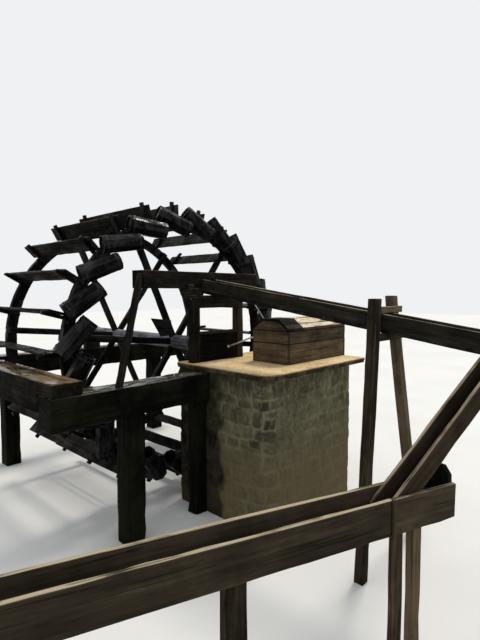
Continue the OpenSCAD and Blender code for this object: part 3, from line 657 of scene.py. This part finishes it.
# A darker copy of the roof's wood for the end of the roof: painted shadow
ROOF_SHADOWED = wood("roof_shadowed_wood", (14, 13, 10), (32, 30, 25), (70, 67, 56),
                rough=(0.7, 0.95), seam=0.9, spread=1.4)
ROOF = wood("roof_sunlit_wood", (52, 42, 31), (92, 76, 57), (140, 120, 92),
            top=(250, 232, 202), sunlit_share=0.95, facing=(0.45, 0.85), rough=(0.7, 0.95),
            crack=0.4, seam=0.8, spread=1.5, patchy=(0.34, 0.54))
IRON = metal("worn_iron", (22, 21, 20), (28, 23, 19), share=0.8, rough=0.5, metallic=0.7)
NAIL = metal("nail_iron", (30, 28, 26), (50, 37, 28), share=0.9, rough=0.55, metallic=0.6)
STEEL = metal("rod_steel", (196, 196, 192), (132, 120, 104), share=0.25, rough=0.3,
              metallic=0.9)
MASONRY = stone("rubble_masonry", (106, 102, 78), (134, 129, 103), (76, 73, 55),
                (118, 96, 64), joint=(146, 139, 112))
# The slab's side colour is painted shade on its broken edge
SLAB = stone("slab_stone", (228, 198, 148), (248, 226, 186), (172, 140, 96),
             (190, 160, 116), side=(50, 43, 30))

# ---------------------------------------------------------------- the wheel's timber
for node in ("near_rim_outer", "near_rim_inner", "far_rim_outer", "far_rim_inner"):
    timber(node, WET, "wet_wood", "wheel", ring=True, step=0.12, chips=0.006)
for node in ("near_spokes", "far_spokes", "hub_board", "bucket_chocks"):
    timber(node, WET, "wet_wood", "wheel", step=0.14, chips=0.006, warp=0.004)
timber("paddles", PADDLE, "wet_wood", "wheel", step=0.14, chips=0.008, warp=0.005)
timber("paddle_cleats", WET, "wet_wood", "wheel", step=0.1, chips=0.006)
timber("bucket_staves", STAVE, "wet_wood", "wheel", bevel=0.0035, inset=0.006, step=0.12,
       chips=0.003)
timber("bucket_bottoms", STAVE, "wet_wood", "wheel", step=0.08)
timber("axle_log", LOG, "axle_wood", "wheel", bevel=0.012, inset=0.02, step=0.12,
       rough=0.002, warp=0.003, chips=0.003)
timber("gudgeons", IRON, "iron", "wheel", bevel=0.003, inset=0.004, rough=0, chips=0, warp=0)

# ---------------------------------------------------------------- the wheel's iron
BUCKET_REACH = 0.12            # staves nearer a bucket's axis than this are its own
END_ZONE = 0.01                # corners this near a bucket's end belong to it
NEW_CORNER = 0.1               # directions nearer than this are the same corner
BUCKET_HOOPS = (0.06, 0.05)    # from a bucket's wide end and from its narrow one
BUCKET_HOOP = {"inner": -0.004, "outer": 0.004, "wide": 0.026}
LOG_HOOPS = (0.04, 0.17)       # from each end of the axle log
LOG_HOOP = {"inner": -0.005, "outer": 0.006, "wide": 0.042}
LOG_CORNERS = 48


def band(piece, centre, axis, corners, reach, inner, outer, wide):
    """A closed iron band round an axis, through the directions of its corners."""
    sides = ((-0.5, inner), (-0.5, outer), (0.5, outer), (0.5, inner))
    points = [centre + axis * (wide * side) + corner * (reach + more)
              for side, more in sides for corner in corners]
    piece.raw(points, tube(len(corners), len(sides), closed=True))


def off_axis(point, centre, axis):
    """Distance of a point from an axis."""
    way = point - centre
    return (way - axis * way.dot(axis)).length


def bucket_hoops():
    """Two thin iron hoops round every bucket, found from its bottom board and staves."""
    piece = Piece("bucket_hoops")
    staves = [[v.co.copy() for v in one.verts] for one in solids_of("bucket_staves")]
    for bottom in solids_of("bucket_bottoms"):
        centre = middle_of([v.co for v in bottom.verts])
        axis = broadest(bottom.faces).copy()
        if axis.dot(Vector((centre.x - AXLE.x, 0, centre.z - AXLE.z))) > 0:
            axis = -axis
        own = [p for stave in staves
               if off_axis(middle_of(stave), centre, axis) < BUCKET_REACH for p in stave]
        spots = [(p - centre).dot(axis) for p in own]
        sizes = [off_axis(p, centre, axis) for p in own]
        start, end = min(spots), max(spots)
        wide = max(r for r, t in zip(sizes, spots) if t < start + END_ZONE)
        narrow = max(r for r, t in zip(sizes, spots) if t > end - END_ZONE)
        u = axis.orthogonal().normalized()
        rays = [(v.co - centre) - axis * (v.co - centre).dot(axis) for v in bottom.verts]
        rays = sorted((r.normalized() for r in rays),
                      key=lambda r: math.atan2(r.dot(axis.cross(u)), r.dot(u)))
        corners = [r for r, after in zip(rays, rays[1:] + rays[:1])
                   if (r - after).length > NEW_CORNER]
        for place in (start + BUCKET_HOOPS[0], end - BUCKET_HOOPS[1]):
            reach = wide + (narrow - wide) * (place - start) / (end - start)
            band(piece, centre + axis * place, axis, corners, reach, **BUCKET_HOOP)
        bottom.free()
    piece.close(IRON, "iron", "wheel", sharp=HARD)


def log_hoops():
    """Two iron hoops round each end of the axle log."""
    piece = Piece("axle_hoops")
    low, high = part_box("axle_log")
    radius = (high.z - low.z) / 2
    angles = [TURN * i / LOG_CORNERS for i in range(LOG_CORNERS)]
    corners = [Vector((math.cos(a), 0, math.sin(a))) for a in angles]
    places = [low.y + far for far in LOG_HOOPS] + [high.y - far for far in LOG_HOOPS[::-1]]
    for y in places:
        band(piece, AXLE + Vector((0, y, 0)), Vector((0, 1, 0)), corners, radius, **LOG_HOOP)
    piece.close(IRON, "iron", "wheel", sharp=HARD)


bucket_hoops()
log_hoops()

BUCKETS, FIRST = 24, math.radians(104.9)      # how many, and the first one's angle
RIM_BOLTS = ((0.0, 1.815), (0.05, 1.885), (-0.05, 1.885))     # turn from it, and radius
CLEAT_BOLTS = (1.975, 2.085)                  # radii
CLEAT_HALF, PADDLE_HALF = 0.0275, 0.016       # half a cleat's width, a paddle's thickness


def in_wheel(radius, angle, y):
    """A point of the wheel."""
    return Vector((AXLE.x + radius * math.cos(angle), y, AXLE.z + radius * math.sin(angle)))


angles = [FIRST + TURN * i / BUCKETS for i in range(BUCKETS)]
wheel_bolts = []
for y, way in ((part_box("near_rim_outer")[0].y, -1), (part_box("far_rim_outer")[1].y, 1)):
    wheel_bolts += [(in_wheel(radius, angle + turn, y), Vector((0, way, 0)))
                    for angle in angles for turn, radius in RIM_BOLTS]
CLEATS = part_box("paddle_cleats")
for angle in angles:
    back = Vector((math.sin(angle), 0, -math.cos(angle)))
    wheel_bolts += [(in_wheel(radius, angle, y) + back * PADDLE_HALF, back)
                    for y in (CLEATS[0].y + CLEAT_HALF, CLEATS[1].y - CLEAT_HALF)
                    for radius in CLEAT_BOLTS]
studs("wheel_bolts", wheel_bolts, radius=0.013, height=0.011, body="wheel", sides=6,
      washer=1.7)

# ---------------------------------------------------------------- the frame
BEAM_WEAR = {"inset": 0.03, "chips": 0.018, "rough": 0.003, "warp": 0.005}
for node in ("near_beam", "far_beam", "beam_posts"):
    timber(node, BEAM, "dark_beam_wood", "frame", bevel=0.011, **BEAM_WEAR)
timber("cross_beam", CROSS, "beam_wood", "frame", bevel=0.024, **BEAM_WEAR)

# Where the nails are: near a board's ends, there on its near face, or in a row at its foot
ENDS = {"nails": {}}
NEAR_ENDS = {"nails": {"toward": Vector((0, -1, 0))}}
FOOT_ROW = {"nails": {"ends": 0.08, "every": 0.42, "across": (0.14,)}}
# Leg tones: painted light on the legs behind the flume, painted shade on those in front
LIT_LEG, SHADED_LEG = 0.95, 0.3
LEGS_MIDDLE = middle_of(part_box("trestle_legs"))


def leg_light_and_shade(centre):
    """The legs behind the flume get a paler tone as painted light, those in front a darker one
    as painted shade.
    """
    return LIT_LEG if centre.x > LEGS_MIDDLE.x else SHADED_LEG


for node, material, slot, settings in (
        ("bearings", STAND, "stand_wood", {}),
        ("stand_posts", STAND, "stand_wood", {}),
        ("stand_top_beam", STAND, "stand_wood", {}),
        ("stand_rail", RAIL, "stand_wood", {}),
        ("stand_panel", PANEL, "stand_wood", NEAR_ENDS),
        ("trough_bearers", STAND, "stand_wood", {}),
        ("trough_floor", BED, "trough_wood", {}),
        ("trough_boards", TROUGH, "trough_wood", FOOT_ROW),
        ("trough_upper_board", UPPER, "trough_wood", NEAR_ENDS),
        ("trough_strut", STAND, "trough_wood", {}),
        ("flume_floor", BED, "trough_wood", {}),
        ("flume_boards", FLUME, "grey_wood", FOOT_ROW),
        ("chute_floor", BED, "trough_wood", {}),
        ("chute_boards", CHUTE, "grey_wood", FOOT_ROW),
        ("ground_floor", BED, "trough_wood", {}),
        ("ground_boards", GROUND, "grey_wood", FOOT_ROW),
        ("ground_end_board", END_BOARD_SHADED, "trough_wood", {}),
        ("ground_stakes", TRESTLE, "grey_wood", {}),
        ("trestle_legs", TRESTLE, "grey_wood", {"tone": leg_light_and_shade}),
        ("trestle_ties", TRESTLE, "grey_wood", NEAR_ENDS),
        ("box_boards", BOX, "box_wood", {**ENDS, "bevel": 0.006}),
        ("box_roof_end", ROOF_SHADOWED, "roof_wood", {**ENDS, "split": 2}),
        ("box_roof", ROOF, "roof_wood", {**ENDS, "split": 2})):
    timber(node, material, slot, "frame", **{"step": 0.18, "chips": 0.007, **settings})
studs("frame_nails", NAILS, radius=0.0065, height=0.004, body="frame")
NODES["box_rod"].data.materials.clear()
NODES["box_rod"].data.materials.append(STEEL)

# ---------------------------------------------------------------- masonry
ROUND, CORNER = 0.19, 0.03     # radii of the near left corner and of the others
CORNER_STEPS = 6
SOFT = 60                      # degrees, for stone's edges


def outline(low, high, near_left, corner, step):
    """Points round a block and their outward normals, distances and total length."""
    centres = [(low.x, low.y, near_left, 180), (high.x, low.y, corner, 270),
               (high.x, high.y, corner, 0), (low.x, high.y, corner, 90)]
    path = []
    for x, y, r, start in centres:
        cx = x + r * (1 if x == low.x else -1)
        cy = y + r * (1 if y == low.y else -1)
        for i in range(CORNER_STEPS + 1):
            a = math.radians(start + 90 / CORNER_STEPS * i)
            path.append((cx + r * math.cos(a), cy + r * math.sin(a)))
    path = np.array(path + path[:1])
    reach = np.concatenate([[0], np.cumsum(np.hypot(*np.diff(path, axis=0).T))])
    count = round(reach[-1] / step)
    place = np.arange(count) * reach[-1] / count
    points = np.stack([np.interp(place, reach, path[:, k]) for k in (0, 1)], 1)
    ahead = np.roll(points, -1, 0) - np.roll(points, 1, 0)
    normals = np.stack([ahead[:, 1], -ahead[:, 0]], 1)
    normals /= np.linalg.norm(normals, axis=1)[:, None]
    return points, normals, place, reach[-1]


def smooth(value):
    """Eases a value from 0 to 1, and holds it there outside them."""
    value = min(1.0, max(0.0, value))
    return value * value * (3 - 2 * value)


def wave(here, size, per_metre, shift=0):
    """Smooth noise of about plus or minus size, with so many waves in a metre."""
    return size * noise.noise(here * per_metre + UP * shift)


GRID = 0.016                   # between the rubble's points
COURSE_TALL, LEAST_TALL = (0.13, 0.23), 0.1   # heights of the rows
STONE_LONG, LEAST_LONG = (0.16, 0.40), 0.17   # lengths of the stones
STONE_LOOKS = 7
# Dark stones in the near left corner: place and half sizes
DARK_STONES = [((-0.390, -1.265, 1.815), 0.085, 0.045),
               ((-0.372, -1.336, 1.630), 0.085, 0.062),
               ((-0.336, -1.387, 1.402), 0.075, 0.066),
               ((-0.385, -1.215, 1.150), 0.105, 0.062)]
DARK_LOOKS = (0.1, 0.12, 0.7)  # how proud they stand, their tone and their pale joint
UNEVEN = 0.02                  # how much a stone's side may fall short of its place
JOINT = 0.010                  # half the width of a joint
CUT_CORNER, CUT_REACH = 0.35, 0.05            # how stones' corners are rounded
STONE_EDGE = 0.014             # over which a stone rises from its joint
DARK_EDGE = 0.06               # how soft the dark stones' edges are
BED_LINE = 0.024               # half the width of a pale joint
BARE, SHOW, NEAR_COVER = 0.55, 0.6, 0.4       # how bare of mortar, and less on the near face
DARK_ABOVE, DARK_TONE, LEAST_TONE = 0.92, 0.25, 0.5     # draws above the first are dark
SUNK, PROUD, PROUDER = 0.004, 0.002, 0.011    # the mortar's depth and a stone's height
# Waves: how large, how many in a metre, and a shift that sets one apart from another
ALONG_WAVE, UPRIGHT_WAVE, SMALL_WAVE = (0.05, 2.7), (0.05, 2.1, 9), (0.014, 7)
JOINT_WAVE, COVER_WAVE, LINE_WAVE = (0.012, 8), (0.9, 2.6, 4), (1.3, 2.2)
DARK_WAVE, BULGE, BUMP, PIT = (0.012, 12), (0.010, 1.3), (0.005, 6), (0.003, 21)
SIDE_SHADE_WAVE, SHADE_WAVE = (1.2, 4.5), (1.5, 4.8)
SHADE_WIDE, SHADE_FADE = 0.1, 0.05              # painted shade at the wheel's side of the pier
SHADE_FROM, SHADE_RAMP = -0.62, 0.16            # and where it starts along the axle
SLAB_SHADOW, SLAB_FADE, SLAB_SHARE = 0.17, 0.12, 0.6      # painted shadow under the slab


def courses(height, around, rng):
    """Rows of stones: foot, head, the stones' ends, their looks, and the row's shift."""
    rows, foot = [], 0.0
    while foot < height:
        head = min(height, foot + rng.uniform(*COURSE_TALL))
        if height - head < LEAST_TALL:
            head = height
        ends, place = [0.0], 0.0
        while place < around - LEAST_LONG:
            place += rng.uniform(*STONE_LONG)
            ends.append(place)
        ends = [e * around / place for e in ends]
        looks = [[rng.random() for _ in range(STONE_LOOKS)] for _ in ends]
        rows.append((foot, head, ends, looks, rng.uniform(0, around)))
        foot = head
    return rows


def stone_at(rows, around, s, t):
    """The looks of the stone at a place, and its distances from the stone's four sides."""
    row = next((r for r in rows if r[0] <= t < r[1]), rows[-1] if t > 0 else rows[0])
    foot, head, ends, looks, shift = row
    along = (s + shift) % around
    k = int(np.searchsorted(ends, along, "right")) - 1
    k = min(max(k, 0), len(ends) - 2)
    return looks[k], (along - ends[k], ends[k + 1] - along, t - foot, head - t)


def masonry(name, node, material, slot):
    """Roughly squared rubble under smeared mortar, as one grid round the pier."""
    low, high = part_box(node)
    points, normals, place, around = outline(low, high, ROUND, CORNER, GRID)
    height = high.z - low.z
    rows = courses(height, around, random.Random(name))
    marked = []
    for (x, y, z), wide, tall in DARK_STONES:
        near = np.argmin(np.hypot(points[:, 0] - x, points[:, 1] - y))
        marked.append((place[near], z - low.z, wide, tall))
    levels = np.linspace(0, height, round(height / GRID) + 1)
    coordinates, mask, tones, painted_shade, lines = [], [], [], [], []
    for z in levels:
        for (x, y), (u, v), spot in zip(points, normals, place):
            here = Vector((x, y, z))
            s = (spot + wave(here, *ALONG_WAVE)) % around
            t = z + wave(here, *UPRIGHT_WAVE) + wave(here, *SMALL_WAVE)
            looks, sides = stone_at(rows, around, s, t)
            proud, tone, show, *slack = looks
            left, right, under, over = (d - UNEVEN * k for d, k in zip(sides, slack))
            a, b = min(left, right), min(under, over)
            joint = JOINT + wave(here, *JOINT_WAVE)
            inner = min(a, b) - joint - CUT_CORNER * max(0.0, CUT_REACH - max(a, b))
            bare = smooth(BARE + SHOW * show + wave(here, *COVER_WAVE))
            share = smooth(inner / STONE_EDGE) * bare * (1 - NEAR_COVER * smooth(-v))
            tone = DARK_TONE if tone > DARK_ABOVE else LEAST_TONE + 0.5 * tone
            line = smooth(1.1 - min(sides) / BED_LINE)
            line *= smooth(0.5 + wave(here, *LINE_WAVE))
            for centre, mid, wide, tall in marked:
                gap = max(abs(s - centre) / wide, abs(t - mid) / tall) - 1
                ragged = gap * DARK_EDGE + wave(here, *DARK_WAVE)
                if ragged < STONE_EDGE:
                    share = smooth(-ragged / STONE_EDGE)
                    proud, tone, line = DARK_LOOKS
            lift = share * (PROUD + PROUDER * proud) - SUNK
            lift += wave(here, *BUMP) + wave(here, *PIT)
            lift += wave(here, *BULGE)
            coordinates.append((x + u * lift, y + v * lift, low.z + z))
            mask.append(share)
            tones.append(tone)
            lines.append((line, 0.0, 0.0))
            # Painted shade: dark on the side by the wheel near the beam, and a painted shadow
            # under the slab
            wet = smooth((low.x + SHADE_WIDE - x) / SHADE_FADE)
            wet *= smooth(0.5 + (y - SHADE_FROM) / SHADE_RAMP + wave(here, *SIDE_SHADE_WAVE))
            shade = smooth((z - height + SLAB_SHADOW) / SLAB_FADE + wave(here, *SHADE_WAVE))
            painted_shade.append(max(wet, SLAB_SHARE * shade * smooth(-u)))
    n, total = len(points), len(levels)
    piece = Piece(name)
    piece.raw(coordinates, tube(n, total) + caps(n, total), mask, tones, painted_shade, lines)
    return piece.close(material, slot, "frame", [node], sharp=SOFT)


SLAB_ROUND, SLAB_CORNER, SLAB_GRID = ROUND + 0.035, 0.03, 0.035
# Rings round the slab, from below: inset, share of its height, and how broken the edge is
SLAB_RINGS = [(0.35, 0.0, 0), (0.06, 0.0, 0), (0.014, 0.0, 0), (0.004, 0.16, 1),
              (0.0, 0.4, 1), (0.002, 0.7, 1), (0.004, 0.88, 0.6), (0.018, 1.0, 0),
              (0.05, 1.0, 0)]
TOP_RINGS = (0.9, 0.78, 0.64, 0.5, 0.36, 0.22, 0.1)     # and across its top, as shares
BITES = ((0.02, 5), (0.035, 14))              # waves that eat into its edge
BITE_FOOT, BITE_LESS, BITE_DROP = 1.3, 0.8, 0.3         # by height, and how far it sinks
EDGE_WAVE, TOP_WAVE = (0.002, 12), (0.004, 4)
TOP_RISE = 0.002               # how far the top may stand up


def slab(name, node, material, slot):
    """The slab, with a broken edge and a slightly uneven top."""
    low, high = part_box(node)
    points, normals, *_ = outline(low, high, SLAB_ROUND, SLAB_CORNER, SLAB_GRID)
    middle = points.mean(0)
    thick = high.z - low.z
    # edge marks the slab's sides, where the material paints shade
    coordinates, edge = [], []
    for inset, share, rim in SLAB_RINGS:
        for (x, y), (u, v) in zip(points, normals):
            here = Vector((x, y, share * thick))
            bite = sum(max(0, wave(here, *size)) for size in BITES)
            bite *= (BITE_FOOT - BITE_LESS * share) if rim else 0
            inward = inset + bite
            lift = wave(here, *EDGE_WAVE) - BITE_DROP * bite
            z = low.z + share * thick + (lift if share else 0)
            coordinates.append((x - u * inward, y - v * inward, z))
            edge.append(float(rim or share < 0.5))
    for factor in TOP_RINGS:
        for point in points:
            x, y = middle + (point - middle) * factor
            z = high.z + wave(Vector((x, y, 0)), *TOP_WAVE)
            coordinates.append((x, y, min(z, high.z + TOP_RISE)))
            edge.append(0.0)
    n, total = len(points), len(SLAB_RINGS) + len(TOP_RINGS)
    coordinates += [(*middle, low.z), (*middle, high.z)]
    edge += [1.0, 0.0]
    last, under, over = (total - 1) * n, total * n, total * n + 1
    faces = tube(n, total)
    faces += [[under, (i + 1) % n, i] for i in range(n)]
    faces += [[over, last + i, last + (i + 1) % n] for i in range(n)]
    piece = Piece(name)
    piece.raw(coordinates, faces, edge)
    return piece.close(material, slot, "frame", [node], sharp=SOFT)


masonry("pier_rubble", "pier_masonry", MASONRY, "rubble_stone")
slab("pier_slab_worn", "pier_slab", SLAB, "slab_stone")

# ---------------------------------------------------------------- floor, light and camera
FLOOR = 60                     # half its width
FLOOR_CORNERS = [(x * FLOOR, y * FLOOR, 0) for x, y in ((-1, -1), (1, -1), (1, 1), (-1, 1))]
FLOOR_LIT = linear(150, 149, 146)             # its colour as it lights the object
FLOOR_SEEN = linear(226, 225, 222), linear(232, 231, 228)
FILL_COLOUR, FILL_STRENGTH = (0.93, 0.965, 1.0, 1), 0.8
SKY_SEEN = (0.87, 0.88, 0.89, 1)
KEY_COLOUR, KEY_STRENGTH = (1.0, 0.95, 0.86), 1.7
KEY_SPREAD = math.radians(14)
KEY_FROM = Vector((0.72, 0.1, 1.25))
LENS, SENSOR, FARTHEST = 26.19, 36, 300
EYE = Vector((-4.655, -5.000, 3.050))
AHEAD = Vector((0.7257, 0.6880, 0))
PITCH = math.radians(3.454)


def aim(made, back):
    """Turns a light or camera so that it looks away from a direction."""
    made.rotation_mode = "QUATERNION"
    made.rotation_quaternion = back.to_track_quat("Z", "Y")


s = Shader("studio_floor")
shade = s.noise(s.place(), *FLOOR_SHADE)
seen = s.mix(s.span(shade, *SHADE_IN), *FLOOR_SEEN)
tint = s.mix(s.node("LightPath").outputs["Is Camera Ray"], FLOOR_LIT, seen)
mesh = bpy.data.meshes.new("studio_floor")
mesh.from_pydata(FLOOR_CORNERS, [], [[0, 1, 2, 3]])
mesh.materials.append(s.close(tint, rough=0.9, bump=shade, depth=0.001, specular=0.1))
linked("studio_floor", mesh)

s = Shader("studio", bpy.data.worlds)
ray = s.node("LightPath").outputs
seen = s.math("MAXIMUM", ray["Is Camera Ray"], ray["Is Glossy Ray"])
fill = s.node("Background", {0: FILL_COLOUR, 1: FILL_STRENGTH}).outputs[0]
sky = s.node("Background", {0: SKY_SEEN, 1: 1.0}).outputs[0]
s.node("OutputWorld", {0: s.node("MixShader", {0: seen, 1: fill, 2: sky}).outputs[0]})
bpy.context.scene.world = s.owner

sun = bpy.data.lights.new("key", "SUN")
sun.energy, sun.angle, sun.color = KEY_STRENGTH, KEY_SPREAD, KEY_COLOUR
aim(linked("key", sun), KEY_FROM)

lens = bpy.data.cameras.new("camera")
lens.lens, lens.sensor_width, lens.clip_end = LENS, SENSOR, FARTHEST
camera = linked("camera", lens)
camera.location = EYE
aim(camera, UP * math.sin(PITCH) - AHEAD.normalized() * math.cos(PITCH))
bpy.context.scene.camera = camera
bpy.context.scene.view_settings.view_transform = "Standard"
